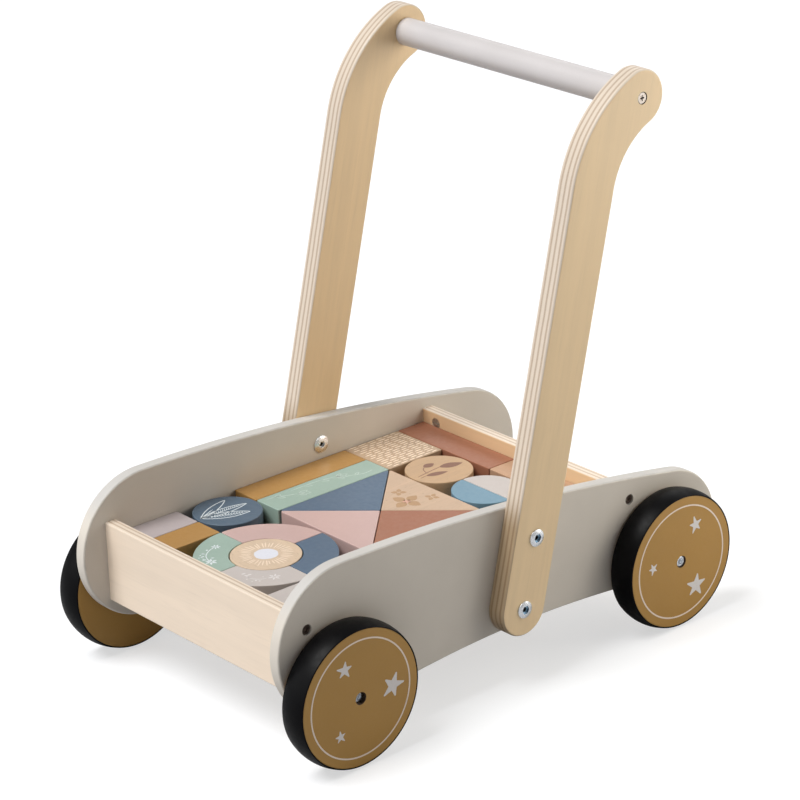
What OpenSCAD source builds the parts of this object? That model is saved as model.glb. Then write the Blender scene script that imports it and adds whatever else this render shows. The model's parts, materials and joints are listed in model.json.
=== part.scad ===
// Wooden push-along baby walker: a block tray on four wheels with a raised push handle.
// Frame: X across the walker (+X is the pushing child's left), -Y the way it rolls,
// +Z up, origin on the ground under the middle of the whole object. Millimetres.

/* [Tray] */
// Clear width between the two side panels
tray_w = 202.4; // [190:0.2:215]
// Inner face of the front panel
tray_front_y = -171; // [-175:0.5:-165]
// Inner face of the rear panel
tray_rear_y = 111.3; // [105:0.1:118]
// Thickness of the painted side panels
side_t = 9.5; // [8:0.5:12]
// Thickness of the plywood front and rear panels
end_t = 9; // [7:0.5:12]
// Height of the front and rear panels
end_h = 59.2; // [50:0.2:65]
// Underside of the front and rear panels
end_z = 50.2; // [45:0.2:55]
// Thickness of the tray floor
floor_t = 5; // [3:0.5:6]
// Upper face of the tray floor
floor_top = 74; // [68:0.5:75]
// Depth of the grooves that hold the tray floor
groove_d = 3; // [2:0.5:4]

/* [Side panel outline] */
// Radius of the round front end
nose_r = 54.3; // [50:0.1:56]
// Centre of the round front end, Y and Z
nose = [-145.7, 84.5];
// Radius of the upper rear corner
tail_r = 49.8; // [45:0.1:52]
// Centre of the upper rear corner, Y and Z
tail = [152.2, 60.5];
// Radius of the lower rear corner
heel_r = 30; // [20:1:34]
// Height of the centre of the lower rear corner
heel_z = 56.2; // [54:0.1:58]
// Radius of the gently crowned top edge
crown_r = 1700; // [1400:10:2200]
// Radius of the arched bottom edge
belly_r = 925; // [800:5:1200]

/* [Push handle] */
// Thickness of the plywood arms
arm_t = 15; // [12:0.5:18]
// Width of the arms
arm_w = 39; // [34:0.5:44]
// Backward lean of the arms, in degrees
arm_lean = 13.5; // [8:0.5:20]
// Lower arm bolt, Y and Z
arm_foot = [0.8, 60.5];
// Distance between the two bolts of an arm
bolt_pitch = 51; // [45:1:60]
// Handle bar centre, Y and Z
grip = [113.4, 395.6];
// Radius of the handle bar
grip_r = 10; // [9:0.5:13]
// Radius of the bend at the middle of the arm's width
bend_r = 76.5; // [65:0.5:90]

/* [Wheels] */
// Outer radius of the tyres, which is also the axle height
tyre_r = 51; // [48:0.5:54]
// Radius of the wheel discs
disc_r = 48.5; // [45:0.5:50]
// Radius of the tyres' crowned tread, seen in section
tread_r = 30; // [20:1:60]
// Width of the wheels
wheel_w = 20.6; // [16:0.2:24]
// Outer face of the wheels, measured from the middle
wheel_x = 133.1; // [131:0.1:136]
// Front and rear axle positions along Y
axle_ys = [-151, 145];
// Depth of the axle bolt's head below the wheel's face, front and rear
recesses = [3, 1];

/* [Fasteners] */
// Radius of the arm bolts' domed heads
dome_r = 6.2; // [5:0.1:8]
// Height of the arm bolts' domed heads
dome_h = 2; // [1.5:0.1:3]
// Radius of the sleeve nuts' flanges
flange_r = 6.5; // [5.5:0.1:8]
// Height of the sleeve nuts' flanges
flange_h = 1.8; // [1.5:0.1:3]
// Radius of the panel bolts' heads
cap_r = 3.8; // [3:0.1:4]
// Distances of the panel bolts from the end panels' lower and upper edges
bolt_margins = [8.3, 8.4];
// Radius of the panel bolts' barrel nuts
barrel_r = 4.2; // [3.5:0.1:4.4]
// Radius of the axle bolts' smooth shoulder
shoulder_r = 3; // [2.5:0.1:3.5]
// Running clearance of the wheel bushes
running = 0.05; // [0.02:0.01:0.1]
// Distance of the panel bolts' barrel nuts from the side panel
barrel_in = 14; // [10:1:18]

/* [Blocks] */
// Thickness of the toy blocks
block_t = 25; // [20:1:30]
// Grid pitch of the blocks across the tray
pitch_x = 24.95; // [24.5:0.05:25.2]
// Grid pitch of the blocks along the tray
pitch_y = 25.6; // [25:0.05:25.6]
// Play between neighbouring blocks
play = 0.5; // [0.4:0.1:0.8]

/* [Hidden] */
$fn = 96;
in_x = tray_w / 2;
out_x = in_x + side_t;
arm_x = out_x + arm_t;
floor_z = floor_top - floor_t;
end_top = end_z + end_h;
hub_x = wheel_x - wheel_w;
rear_y = tail[0] + tail_r;
heel = [rear_y - heel_r, heel_z];
up = [sin(arm_lean), cos(arm_lean)];
arm_top_bolt = arm_foot + bolt_pitch * up;
// Centre of the handle's bend: bend_r behind the arm's line and bend_r from the handle bar
bend_gap = bend_r * [cos(arm_lean), -sin(arm_lean)];
bend_c = meet(grip, bend_r, arm_foot + bend_gap, up);
bend_start = bend_c - bend_gap;
// Panel bolts: one near the bottom and one near the top of each end panel's end
panel_bolt_zs = [end_z + bolt_margins[0], end_top - bolt_margins[1]];
panel_bolt_ys = [tray_front_y - end_t / 2, tray_rear_y + end_t / 2];
eps = 0.01;
// How far a cutting solid reaches past the face that it opens
over = 1;
// Radial clearance of a fastener in its hole
fit = 0.1;
// Panel bolts: shank, depth of the counterbore, gap above the head, and reach past the nut
bolt_r = 2;
hole_r = bolt_r + fit;
cap_h = 4;
cap_sink = 1.2;
cap_hex_r = 1.8;
cap_hex_d = 2;
bolt_past = 5;
// Barrel nuts: wood left behind them, depth below the inner face, and their slot
barrel_skin = 1.5;
barrel_sink = 0.3;
barrel_l = end_t - barrel_skin - barrel_sink - 2 * fit;
slot_w = 1;
slot_d = 0.8;
// Arm bolts and the sleeve nuts that they screw into
sleeve_r = 3.9;
sleeve_reach = 8;
sleeve_floor = 2.5;
thread_r = 2.9;
thread_gap = 0.5;
rim_t = 0.8;
arm_hex_r = 2.3;
arm_hex_d = 2.6;
// Cross-head screws of the handle bar
screw_r = 2;
screw_l = 28;
screw_head_r = 3.9;
screw_head_h = 2.3;
cross_l = 4.4;
cross_w = 0.9;
cross_d = 2;
// Axle bolts: head, threaded end and hex socket
head_r = 3.8;
head_h = 4.2;
head_gap = 0.6;
axle_thread_r = 2.5;
axle_hex_r = 2.1;
axle_hex_d = 2.6;
// Flanged nuts of the axle bolts, and washers under the wheels
axle_flange_r = 8.5;
axle_flange_t = 1.5;
washer_r = 8;
washer_t = 1.2;
// Wheel hubs
pocket_r = 4.4;
bush_r = 4.8;
// Far front corner of the block grid: the set stands against the right and rear panels
slack = 0.4;
grid_rows = 11;
grid_x = -in_x + slack - play / 2;
grid_y = tray_rear_y - slack + play / 2 - grid_rows * pitch_y;

// A point at distance r from c on the line through p along the unit vector u, the lower one
function meet(c, r, p, u) =
    let (w = p - c, b = w * u)
    p + (-b - sqrt(b * b - w * w + r * r)) * u;

// Right-hand crossing of circle (a, ra) and circle (b, rb), seen from a towards b
function cross_point(a, ra, b, rb) =
    let (d = norm(b - a), u = (b - a) / d, s = (d * d + ra * ra - rb * rb) / (2 * d))
    a + s * u + sqrt(ra * ra - s * s) * [u[1], -u[0]];

function unit(v) = v / norm(v);

// ---- helpers -------------------------------------------------------------

// Extrudes a YZ outline along X between two stations
module slab(x0, x1) {
    translate([x0, 0, 0]) rotate([90, 0, 90]) linear_extrude(x1 - x0) children();
}

// Round bar or bore along X at a YZ point
module rod_x(x0, x1, r, yz, r2, fn = 96) {
    translate([x0, yz[0], yz[1]]) rotate([0, 90, 0])
        cylinder(h = x1 - x0, r1 = r, r2 = is_undef(r2) ? r : r2, $fn = fn);
}

// Hex socket that opens towards +X at x1
module hex_socket(x1, yz, r, depth) {
    translate([x1 - depth, yz[0], yz[1]]) rotate([0, 90, 0])
        cylinder(h = depth + over, r = r, $fn = 6);
}

module block_at(x0, y0, w, l, h, z0) {
    translate([x0, y0, z0]) cube([w, l, h]);
}

// Left side as drawn, right side as its mirror image
module handed(side) {
    if (side > 0) children();
    else mirror([1, 0, 0]) children();
}

module each_side() {
    for (side = [-1, 1]) handed(side) children();
}

// ---- tray ----------------------------------------------------------------

// A side panel's board without its holes: round nose, crowned top, two rear corners and an
// arched underside, each arc running smoothly into the next
module side_board() {
    crown = cross_point(nose, crown_r - nose_r, tail, crown_r - tail_r);
    belly = cross_point(nose, belly_r + nose_r, heel, belly_r + heel_r);
    nose_top = crown + crown_r * unit(nose - crown);
    tail_top = crown + crown_r * unit(tail - crown);
    middle = unit(nose_top + tail_top - 2 * crown);
    apex = crown + crown_r / (middle * unit(nose - crown)) * middle;
    nose_foot = belly + belly_r * unit(nose - belly);
    heel_foot = belly + belly_r * unit(heel - belly);
    union() {
        rod_x(in_x, out_x, nose_r, nose);
        rod_x(in_x, out_x, heel_r, heel);
        intersection() {
            rod_x(in_x, out_x, tail_r, tail);
            block_at(in_x, tail[0] - tail_r, side_t, 2 * tail_r, tail_r, tail[1]);
        }
        difference() {
            intersection() {
                slab(in_x, out_x)
                    polygon([nose, nose_top, apex, tail_top, tail, [rear_y, tail[1]],
                             [rear_y, heel[1]], heel, heel_foot, nose_foot]);
                rod_x(in_x, out_x, crown_r, crown, fn = 720);
            }
            rod_x(in_x - over, out_x + over, belly_r, belly, fn = 720);
        }
    }
}

module side_panel(side) {
    handed(side) difference() {
        side_board();
        block_at(in_x - over, tray_front_y - groove_d, groove_d + over,
                 tray_rear_y - tray_front_y + 2 * groove_d, floor_t, floor_z);
        for (y = panel_bolt_ys, z = panel_bolt_zs) {
            rod_x(in_x - over, out_x + over, hole_r, [y, z]);
            rod_x(out_x - cap_h, out_x + over, cap_r + fit, [y, z]);
        }
        for (p = [arm_foot, arm_top_bolt]) rod_x(in_x - over, out_x + over, sleeve_r + fit, p);
        for (y = axle_ys) rod_x(in_x - over, out_x + over, sleeve_r + fit, [y, tyre_r]);
    }
}

// Front or rear panel; toward is +1 when the tray lies on its +Y side
module end_panel(y0, toward) {
    inner_y = toward > 0 ? y0 + end_t : y0;
    difference() {
        block_at(-in_x, y0, tray_w, end_t, end_h, end_z);
        block_at(-in_x - over, inner_y - (toward > 0 ? groove_d : over), tray_w + 2 * over,
                 groove_d + over, floor_t, floor_z);
        each_side() for (z = panel_bolt_zs) {
            rod_x(in_x - barrel_in - bolt_past - over, in_x + over, hole_r, [y0 + end_t / 2, z]);
            barrel_hole(y0, toward, z);
        }
    }
}

module barrel_hole(y0, toward, z) {
    start = toward > 0 ? y0 + barrel_skin : y0 - over;
    translate([in_x - barrel_in, start, z]) rotate([-90, 0, 0])
        cylinder(h = end_t - barrel_skin + over, r = barrel_r + fit / 2);
}

module front_panel() color("BurlyWood") end_panel(tray_front_y - end_t, 1);
module rear_panel() color("BurlyWood") end_panel(tray_rear_y, -1);

module tray_floor() {
    color("Wheat")
        block_at(-in_x - groove_d, tray_front_y - groove_d, tray_w + 2 * groove_d,
                 tray_rear_y - tray_front_y + 2 * groove_d, floor_t, floor_z);
}

// ---- push handle -----------------------------------------------------------

module arm_outline() {
    reach = 2 * bend_r;
    side = arm_w / 2 * [up[1], -up[0]];
    translate(arm_foot) circle(arm_w / 2);
    translate(grip) circle(arm_w / 2);
    polygon([arm_foot - side, arm_foot + side, bend_start + side, bend_start - side]);
    intersection() {
        difference() {
            translate(bend_c) circle(bend_r + arm_w / 2);
            translate(bend_c) circle(bend_r - arm_w / 2);
        }
        polygon([bend_c, bend_c + reach * unit(bend_start - bend_c),
                 bend_c + reach * unit(bend_start + grip - 2 * bend_c),
                 bend_c + reach * unit(grip - bend_c)]);
    }
}

module handle_arm(side) {
    color("Tan") handed(side) difference() {
        slab(out_x, arm_x) arm_outline();
        for (p = [arm_foot, arm_top_bolt])
            rod_x(out_x - over, arm_x + over, sleeve_r + fit, p);
        rod_x(out_x - over, arm_x + over, hole_r, grip);
        rod_x(arm_x - screw_head_h - fit, arm_x + eps, hole_r, grip, screw_head_r + fit);
    }
}

module handle_bar() {
    color("Gainsboro") difference() {
        rod_x(-out_x, out_x, grip_r, grip);
        each_side() rod_x(out_x - screw_l - 2 * over, out_x + over, hole_r, grip);
    }
}

// ---- fasteners -------------------------------------------------------------

// Domed head of radius r and height h along +X
module dome(x0, yz, r, h) {
    rise = h - rim_t;
    ball_r = (r * r + rise * rise) / (2 * rise);
    translate([x0, yz[0], yz[1]]) rotate([0, 90, 0]) rotate_extrude() intersection() {
        square([r, h]);
        translate([0, h - ball_r]) circle(ball_r);
    }
}

module handle_screws() {
    color("Silver") each_side() difference() {
        union() {
            rod_x(out_x - screw_l, arm_x - screw_head_h, screw_r, grip);
            rod_x(arm_x - screw_head_h, arm_x, screw_r, grip, screw_head_r);
        }
        for (turn = [20, 110]) translate([arm_x, grip[0], grip[1]]) rotate([turn, 0, 0])
            cube([2 * cross_d, cross_l, cross_w], center = true);
    }
}

module arm_bolts() {
    color("Silver") each_side() for (p = [arm_foot, arm_top_bolt]) difference() {
        union() {
            dome(arm_x, p, dome_r, dome_h);
            rod_x(in_x + sleeve_floor + thread_gap, arm_x + eps, thread_r, p);
        }
        hex_socket(arm_x + dome_h, p, arm_hex_r, arm_hex_d);
    }
}

module arm_sleeve_nuts() {
    color("Silver") each_side() for (p = [arm_foot, arm_top_bolt]) difference() {
        union() {
            rod_x(in_x - eps, out_x + sleeve_reach, sleeve_r, p);
            translate([2 * in_x, 0, 0]) mirror([1, 0, 0]) dome(in_x, p, flange_r, flange_h);
        }
        rod_x(in_x + sleeve_floor, out_x + sleeve_reach + over, thread_r + fit, p);
        translate([2 * in_x, 0, 0]) mirror([1, 0, 0])
            hex_socket(in_x + flange_h, p, arm_hex_r, arm_hex_d);
    }
}

module panel_bolts() {
    color("DimGray") each_side() for (y = panel_bolt_ys, z = panel_bolt_zs) difference() {
        union() {
            rod_x(in_x - barrel_in - bolt_past, out_x - cap_h + eps, bolt_r, [y, z]);
            rod_x(out_x - cap_h, out_x - cap_sink, cap_r, [y, z]);
        }
        hex_socket(out_x - cap_sink, [y, z], cap_hex_r, cap_hex_d);
    }
}

module barrel_nuts() {
    color("Silver") each_side() for (k = [0, 1], z = panel_bolt_zs) {
        y0 = k == 0 ? tray_front_y : tray_rear_y;
        toward = k == 0 ? -1 : 1;
        translate([in_x - barrel_in, y0 + toward * barrel_sink, z]) rotate([-90 * toward, 0, 0])
            difference() {
                cylinder(h = barrel_l, r = barrel_r);
                translate([0, 0, end_t / 2 - barrel_sink]) rotate([0, 90, 0])
                    cylinder(h = 2 * (barrel_r + over), r = hole_r, center = true);
                translate([-barrel_r - over, -slot_w / 2, -over])
                    cube([2 * (barrel_r + over), slot_w, slot_d + over]);
            }
    }
}

module axle_bolts() {
    color("Silver") each_side() for (k = [0, 1]) {
        spot = [axle_ys[k], tyre_r];
        face = wheel_x - recesses[k];
        difference() {
            union() {
                rod_x(in_x - over, out_x + eps, axle_thread_r, spot);
                rod_x(out_x, face - head_h + eps, shoulder_r, spot);
                rod_x(face - head_h, face, head_r, spot);
            }
            hex_socket(face, spot, axle_hex_r, axle_hex_d);
        }
    }
}

module axle_nuts() {
    color("Silver") each_side() for (y = axle_ys) difference() {
        union() {
            rod_x(in_x - axle_flange_t, in_x, axle_flange_r, [y, tyre_r]);
            rod_x(in_x - axle_flange_t, out_x - over, sleeve_r, [y, tyre_r]);
        }
        rod_x(in_x - axle_flange_t - over, out_x, axle_thread_r + fit / 2, [y, tyre_r]);
    }
}

module axle_washers() {
    color("Gray") each_side() for (y = axle_ys) difference() {
        rod_x(out_x, out_x + washer_t, washer_r, [y, tyre_r]);
        rod_x(out_x - over, out_x + washer_t + over, shoulder_r + fit, [y, tyre_r]);
    }
}

// ---- wheels ----------------------------------------------------------------

// end is 0 for the front axle and 1 for the rear one
module wheel(side, end) {
    pocket = recesses[end] + head_h + head_gap;
    spot = [axle_ys[end], tyre_r];
    color("Peru") handed(side) difference() {
        rod_x(hub_x, wheel_x, disc_r, spot);
        rod_x(hub_x - over, wheel_x + over, pocket_r, spot);
        rod_x(hub_x - over, wheel_x - pocket, bush_r, spot);
    }
}

// A band with rounded shoulders and a crowned tread
module tyre(side, end) {
    shoulder = tyre_r - disc_r;
    flank = wheel_w / 2 - shoulder;
    color("DarkSlateGray") handed(side)
        translate([hub_x + wheel_w / 2, axle_ys[end], tyre_r]) rotate([0, 90, 0])
            rotate_extrude() intersection() {
                union() {
                    for (s = [-1, 1]) translate([disc_r, s * flank]) circle(shoulder);
                    translate([disc_r, -flank]) square([shoulder, 2 * flank]);
                }
                translate([disc_r, -wheel_w]) square([shoulder + over, 2 * wheel_w]);
                translate([tyre_r - tread_r, 0]) circle(tread_r);
            }
}

module bush(side, end) {
    pocket = recesses[end] + head_h + head_gap;
    spot = [axle_ys[end], tyre_r];
    color("WhiteSmoke") handed(side) difference() {
        rod_x(hub_x, wheel_x - pocket, bush_r, spot);
        rod_x(hub_x - over, wheel_x, shoulder_r + running, spot);
    }
}

// ---- toy blocks ------------------------------------------------------------
// Blocks stand on a grid of pitch_x by pitch_y: columns run from the right panel to the
// left one, rows from the front panel to the rear one.

function col(c) = grid_x + c * pitch_x;
function row(r) = grid_y + r * pitch_y;

module brick(c, r, cols, rows) {
    block_at(col(c) + play / 2, row(r) + play / 2, cols * pitch_x - play,
             rows * pitch_y - play, block_t, floor_top);
}

// Round block that fills a 2 by 2 field
module puck(c, r) {
    translate([col(c + 1), row(r + 1), floor_top]) cylinder(h = block_t, r = pitch_x - play / 2);
}

// One quarter of the four-piece ring that surrounds the sun block; turn is in degrees
module arc_block(turn) {
    outer = 2 * pitch_x - play / 2;
    inner = pitch_x + play;
    translate([col(4), row(2), floor_top]) rotate([0, 0, turn]) intersection() {
        difference() {
            cylinder(h = block_t, r = outer);
            translate([0, 0, -over]) cylinder(h = block_t + 2 * over, r = inner);
        }
        translate([play / 2, play / 2, -over]) cube([outer, outer, block_t + 2 * over]);
    }
}

// One of four triangles whose points meet in the middle of a 4 by 4 field; the long side
// of the unturned one faces -Y
module triangle_block(turn) {
    half = (turn % 180 == 0 ? [2 * pitch_x, 2 * pitch_y] : [2 * pitch_y, 2 * pitch_x])
         - [play / 2, play / 2];
    trim = play * 0.8;
    translate([col(4), row(6), floor_top]) rotate([0, 0, turn]) linear_extrude(block_t)
        polygon([[-half[0] + trim, -half[1]], [half[0] - trim, -half[1]], [0, -trim]]);
}

// Half of a round block, split across the tray; toward is -1 for the front half
module half_puck(c, r, toward) {
    size = 2 * pitch_x;
    translate([col(c + 1), row(r + 1), floor_top]) intersection() {
        cylinder(h = block_t, r = pitch_x - play / 2);
        translate([-size / 2, toward > 0 ? play / 2 : -size - play / 2, -over])
            cube([size, size, block_t + 2 * over]);
    }
}

module block_lilac_corner() color("Thistle") brick(0, 0, 1, 2);
module block_mustard_short() color("Peru") brick(1, 0, 1, 2);
module block_navy_round() color("SlateGray") puck(0, 2);
module block_mustard_long() color("Peru") brick(0, 4, 1, 4);
module block_mint_long() color("DarkSeaGreen") brick(1, 4, 1, 4);
module block_slate_triangle() color("LightSlateGray") triangle_block(270);
module block_pink_triangle() color("Pink") triangle_block(0);
module block_terracotta_triangle() color("RosyBrown") triangle_block(90);
module block_natural_triangle() color("BurlyWood") triangle_block(180);
module block_dash_square() color("BurlyWood") brick(0, 8, 2, 2);
module block_sprig_round() color("BurlyWood") puck(2, 8);
module block_terracotta_long() color("RosyBrown") brick(0, 10, 4, 1);
module block_natural_long() color("BurlyWood") brick(4, 10, 4, 1);
module block_half_blue() color("LightSteelBlue") half_puck(4, 8, -1);
module block_half_grey() color("LightGray") half_puck(4, 8, 1);
module block_arc_pink() color("Pink") arc_block(90);
module block_arc_slate() color("LightSlateGray") arc_block(0);
module block_arc_grey() color("LightGray") arc_block(270);
module block_arc_mint() color("DarkSeaGreen") arc_block(180);
module block_sun_round() color("BurlyWood") puck(3, 1);
module block_grey_corner() color("LightGray") brick(6, 0, 1, 2);
module block_pink_short() color("Pink") brick(7, 0, 1, 2);
module block_mustard_round() color("Peru") puck(6, 2);
module block_slate_long() color("LightSlateGray") brick(6, 4, 1, 4);
module block_lilac_long() color("Thistle") brick(7, 4, 1, 4);
module block_mint_square() color("DarkSeaGreen") brick(6, 8, 2, 2);

// ---- the walker ------------------------------------------------------------

module side_panel_left() color("Silver") side_panel(1);
module side_panel_right() color("Silver") side_panel(-1);

side_panel_left();
side_panel_right();
front_panel();
rear_panel();
tray_floor();
handle_arm(1);  // handle_arm_left
handle_arm(-1);  // handle_arm_right
handle_bar();
handle_screws();
arm_bolts();
arm_sleeve_nuts();
panel_bolts();
barrel_nuts();
axle_bolts();
axle_nuts();
axle_washers();
wheel(1, 0);  // wheel_front_left
wheel(-1, 0);  // wheel_front_right
wheel(1, 1);  // wheel_rear_left
wheel(-1, 1);  // wheel_rear_right
tyre(1, 0);  // tyre_front_left
tyre(-1, 0);  // tyre_front_right
tyre(1, 1);  // tyre_rear_left
tyre(-1, 1);  // tyre_rear_right
bush(1, 0);  // bush_front_left
bush(-1, 0);  // bush_front_right
bush(1, 1);  // bush_rear_left
bush(-1, 1);  // bush_rear_right
block_lilac_corner();
block_mustard_short();
block_navy_round();
block_mustard_long();
block_mint_long();
block_slate_triangle();
block_pink_triangle();
block_terracotta_triangle();
block_natural_triangle();
block_dash_square();
block_sprig_round();
block_terracotta_long();
block_natural_long();
block_half_blue();
block_half_grey();
block_arc_pink();
block_arc_slate();
block_arc_grey();
block_arc_mint();
block_sun_round();
block_grey_corner();
block_pink_short();
block_mustard_round();
block_slate_long();
block_lilac_long();
block_mint_square();
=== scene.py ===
# Looks of the baby walker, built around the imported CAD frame. Lengths are in millimetres and
# become metres where a mesh is made. +X is the pushing child's left, -Y the way it rolls.
import json
import math
import random

import bmesh
import bpy
from mathutils import Matrix, Vector

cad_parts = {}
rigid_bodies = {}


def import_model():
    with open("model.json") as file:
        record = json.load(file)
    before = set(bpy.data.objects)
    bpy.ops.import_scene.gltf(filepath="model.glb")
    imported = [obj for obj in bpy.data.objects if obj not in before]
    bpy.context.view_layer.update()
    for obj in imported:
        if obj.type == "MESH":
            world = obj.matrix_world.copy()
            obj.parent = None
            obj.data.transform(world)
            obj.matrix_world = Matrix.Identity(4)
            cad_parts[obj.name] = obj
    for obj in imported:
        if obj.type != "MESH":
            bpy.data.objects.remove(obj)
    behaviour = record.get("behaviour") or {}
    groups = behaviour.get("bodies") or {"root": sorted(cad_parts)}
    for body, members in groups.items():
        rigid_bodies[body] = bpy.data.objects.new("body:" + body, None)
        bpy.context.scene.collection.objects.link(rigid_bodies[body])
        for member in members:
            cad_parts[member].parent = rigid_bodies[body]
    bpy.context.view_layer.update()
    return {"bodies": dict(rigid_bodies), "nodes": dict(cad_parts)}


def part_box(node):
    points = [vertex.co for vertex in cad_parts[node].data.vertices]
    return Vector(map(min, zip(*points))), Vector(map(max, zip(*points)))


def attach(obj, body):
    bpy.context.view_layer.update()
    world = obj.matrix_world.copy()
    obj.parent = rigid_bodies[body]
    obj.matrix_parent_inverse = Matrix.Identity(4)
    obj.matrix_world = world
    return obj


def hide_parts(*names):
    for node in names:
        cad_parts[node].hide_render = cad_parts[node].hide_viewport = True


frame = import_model()

MM = 0.001
SIDES = ((1, "left"), (-1, "right"))


def span(node):
    """Lowest and highest corner of a CAD node, in millimetres."""
    low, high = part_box(node)
    return low / MM, high / MM


def between(side, a, b):
    """Two distances from the middle plane as the lower and the higher x on one side."""
    return sorted((side * a, side * b))


# ---- measures ----

side_low, side_high = span("side_panel_left")
IN_X, OUT_X = side_low.x, side_high.x
ARM_X = span("handle_arm_left")[1].x
front_low, front_high = span("front_panel")
rear_low, rear_high = span("rear_panel")
floor_low, floor_high = span("tray_floor")
grip_low, grip_high = span("handle_bar")
GRIP_R = (grip_high.z - grip_low.z) / 2
GRIP = ((grip_low.y + grip_high.y) / 2, (grip_low.z + grip_high.z) / 2)
wheel_boxes = [span("wheel_front_left"), span("wheel_rear_left")]
WHEEL_IN, WHEEL_OUT = wheel_boxes[0][0].x, wheel_boxes[0][1].x
DISC_R = (wheel_boxes[0][1].z - wheel_boxes[0][0].z) / 2
AXLE_YS = [(low.y + high.y) / 2 for low, high in wheel_boxes]
TYRE_R = span("tyre_front_left")[1].z / 2
BLOCK_TOP = span("block_sun_round")[1].z

# Side boards: round nose, upper and lower rear corners, crowned top and arched bottom
NOSE, NOSE_R = (-145.7, 84.5), 54.3
TAIL, TAIL_R = (152.2, 60.5), 49.8
HEEL, HEEL_R = (172.0, 56.2), 30.0
CROWN_R, BELLY_R = 1700.0, 925.0
EDGE_R = 1.5
# Arms
LEAN = math.radians(13.5)
ARM_W = 39.0
ARM_FOOT = (0.8, 60.5)
BEND_R = 76.5
BOLT_PITCH = 51.0
ARM_ROUND = 1.7
BOLT_R, BOLT_HIGH = 6.2, 2.0
SLEEVE_R, SLEEVE_HIGH = 6.5, 1.8
# Panel bolts, their barrel nuts, and the grooves of the tray floor
PANEL_BOLT_ZS = (front_low.z + 8.3, front_high.z - 8.4)
PANEL_BOLT_YS = ((front_low.y + front_high.y) / 2, (rear_low.y + rear_high.y) / 2)
UP = (math.sin(LEAN), math.cos(LEAN))
ARM_BOLTS = (ARM_FOOT, (ARM_FOOT[0] + BOLT_PITCH * UP[0], ARM_FOOT[1] + BOLT_PITCH * UP[1]))
BARREL_IN = 14.0
CAP_HOLE_R = 3.9
CAP_DEEP = 4.0
NUT_R = 4.2
NUT_BORE = 7.5
GROOVE = 3.0
# Depth of the axle bolts' heads below the wheels' faces, front and rear
RECESSES = (3.0, 1.0)
# Radii of shanks, threads, heads and flanges
ARM_SHANK_R, SLEEVE_TUBE_R = 2.7, 3.85
CAP_R, CAP_SHANK_R = 3.6, 1.9
AXLE_HEAD_R, SHOULDER_R, THREAD_R = 3.75, 2.95, 2.45
FLANGE_R, WASHER_R = 8.5, 8.0
SCREW_SHANK_R, SCREW_HEAD_R = 1.9, 4.3
HEX = 6


# ---- outlines ----


def arc(centre, r, start, end, steps):
    """Points on a circle from one angle to another, in degrees, both ends included."""
    angles = [math.radians(start + (end - start) * i / steps) for i in range(steps + 1)]
    return [(centre[0] + r * math.cos(a), centre[1] + r * math.sin(a)) for a in angles]


def polar(centre, r, degrees):
    a = math.radians(degrees)
    return centre[0] + r * math.cos(a), centre[1] + r * math.sin(a)


def placed(points, spot, degrees=0.0):
    """The points turned about the origin and then moved to a spot."""
    c, s = math.cos(math.radians(degrees)), math.sin(math.radians(degrees))
    return [(spot[0] + c * u - s * v, spot[1] + s * u + c * v) for u, v in points]


def bearing(a, b):
    """Angle in degrees, from 0 to 360, of the way from point a to point b."""
    return math.degrees(math.atan2(b[1] - a[1], b[0] - a[0])) % 360


def cross_point(a, ra, b, rb):
    """Right-hand crossing of two circles, seen from a towards b."""
    d = math.dist(a, b)
    ux, uy = (b[0] - a[0]) / d, (b[1] - a[1]) / d
    s = (d * d + ra * ra - rb * rb) / (2 * d)
    h = math.sqrt(ra * ra - s * s)
    return a[0] + s * ux + h * uy, a[1] + s * uy - h * ux


def side_outline():
    """A side board from the left, counter-clockwise in Y and Z, from the top of its nose."""
    crown = cross_point(NOSE, CROWN_R - NOSE_R, TAIL, CROWN_R - TAIL_R)
    belly = cross_point(NOSE, BELLY_R + NOSE_R, HEEL, BELLY_R + HEEL_R)
    points = arc(NOSE, NOSE_R, bearing(crown, NOSE), bearing(NOSE, belly), 72)
    points += arc(belly, BELLY_R, bearing(belly, NOSE), bearing(belly, HEEL), 60)[1:]
    points += arc(HEEL, HEEL_R, bearing(HEEL, belly) - 360, 0, 24)[1:]
    points += arc(TAIL, TAIL_R, 0, bearing(crown, TAIL), 36)
    points += arc(crown, CROWN_R, bearing(crown, TAIL), bearing(crown, NOSE), 60)[1:-1]
    return points


def arm_outline():
    """A handle arm from the left, counter-clockwise in Y and Z, from the foot's rear side."""
    r = ARM_W / 2
    across = (UP[1], -UP[0])
    gap = (BEND_R * across[0], BEND_R * across[1])
    # The bend's centre lies BEND_R behind the arm's line and BEND_R from the grip
    base = (ARM_FOOT[0] + gap[0] - GRIP[0], ARM_FOOT[1] + gap[1] - GRIP[1])
    b = base[0] * UP[0] + base[1] * UP[1]
    length = -b - math.sqrt(b * b - (base[0] ** 2 + base[1] ** 2) + BEND_R**2)
    bend = (ARM_FOOT[0] + gap[0] + length * UP[0], ARM_FOOT[1] + gap[1] + length * UP[1])
    start, end = 180 - math.degrees(LEAN), bearing(bend, GRIP)
    rises = [length * i / 24 for i in range(25)]

    def straight(edge, order):
        return [
            (ARM_FOOT[0] + rise * UP[0] + edge * across[0], ARM_FOOT[1] + rise * UP[1] + edge * across[1])
            for rise in order
        ]

    points = straight(r, rises)
    points += arc(bend, BEND_R - r, start, end, 24)[1:]
    points += arc(GRIP, r, end - 180, end, 48)[1:]
    points += arc(bend, BEND_R + r, end, start, 24)[1:]
    points += straight(-r, rises[::-1])
    points += arc(ARM_FOOT, r, start, start + 180, 48)[1:-1]
    return tidy(points)


def tidy(points):
    """The outline without points that repeat."""
    return [p for i, p in enumerate(points) if math.dist(p, points[i - 1]) > 0.01]


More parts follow.
